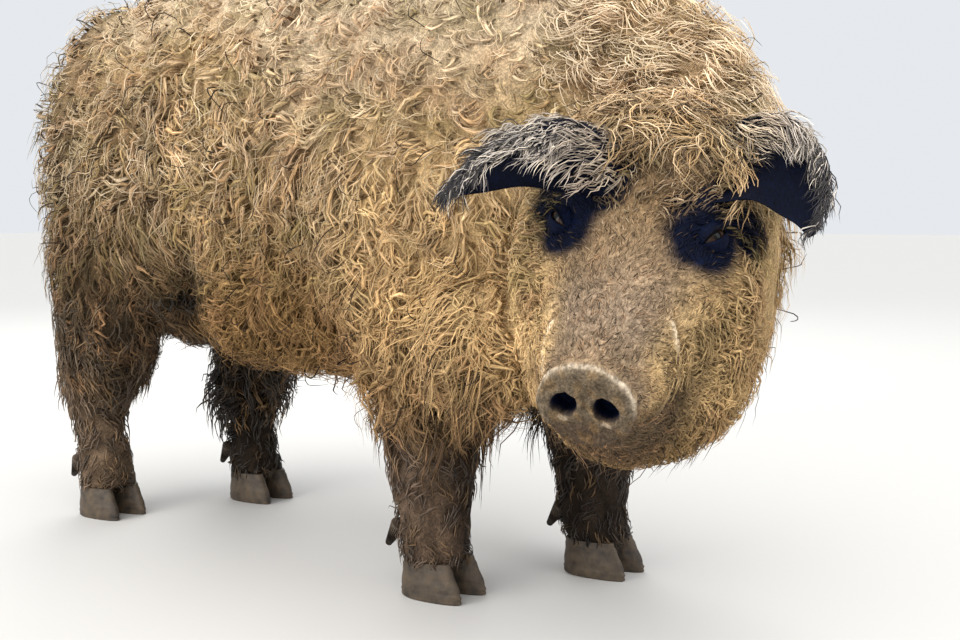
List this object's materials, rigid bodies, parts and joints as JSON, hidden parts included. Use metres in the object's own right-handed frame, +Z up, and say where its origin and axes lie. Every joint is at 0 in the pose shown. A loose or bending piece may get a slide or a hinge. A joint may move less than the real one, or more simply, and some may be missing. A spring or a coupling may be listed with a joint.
{
  "type": "mangalica pig",
  "caption": "Still, life-size curly-coated pig standing with its head lowered and turned to its right, parted into torso, neck, head, ears, eyes, legs, hooves, dewclaws and tail.",
  "frame": {"origin": "on the floor, under the middle of the box round the whole animal", "axes": "+X from the rump towards the shoulders, +Y the animal's left, +Z up"},
  "size_m": [1.5686, 0.737, 0.9437],
  "materials": {
    "coat": "blond felted curls, dusty with mud",
    "face": "short-haired skin, dusted with dry mud",
    "ear": "blue-black skin with grey hair",
    "eye": "wet dark eye",
    "muddy_leg": "wet, mud-caked hair",
    "horn": "dull dark horn"
  },
  "bodies": {
    "root": {"dewclaw_front_left_left": "horn", "dewclaw_front_left_right": "horn", "dewclaw_front_right_left": "horn", "dewclaw_front_right_right": "horn", "dewclaw_hind_left_left": "horn", "dewclaw_hind_left_right": "horn", "dewclaw_hind_right_left": "horn", "dewclaw_hind_right_right": "horn", "ear_left": "ear", "ear_right": "ear", "eye_left": "eye", "eye_right": "eye", "head": "face", "hoof_front_left_left": "horn", "hoof_front_left_right": "horn", "hoof_front_right_left": "horn", "hoof_front_right_right": "horn", "hoof_hind_left_left": "horn", "hoof_hind_left_right": "horn", "hoof_hind_right_left": "horn", "hoof_hind_right_right": "horn", "leg_front_left": "muddy_leg", "leg_front_right": "muddy_leg", "leg_hind_left": "muddy_leg", "leg_hind_right": "muddy_leg", "neck": "coat", "tail": "coat", "torso": "coat"}
  },
  "joints": []
}
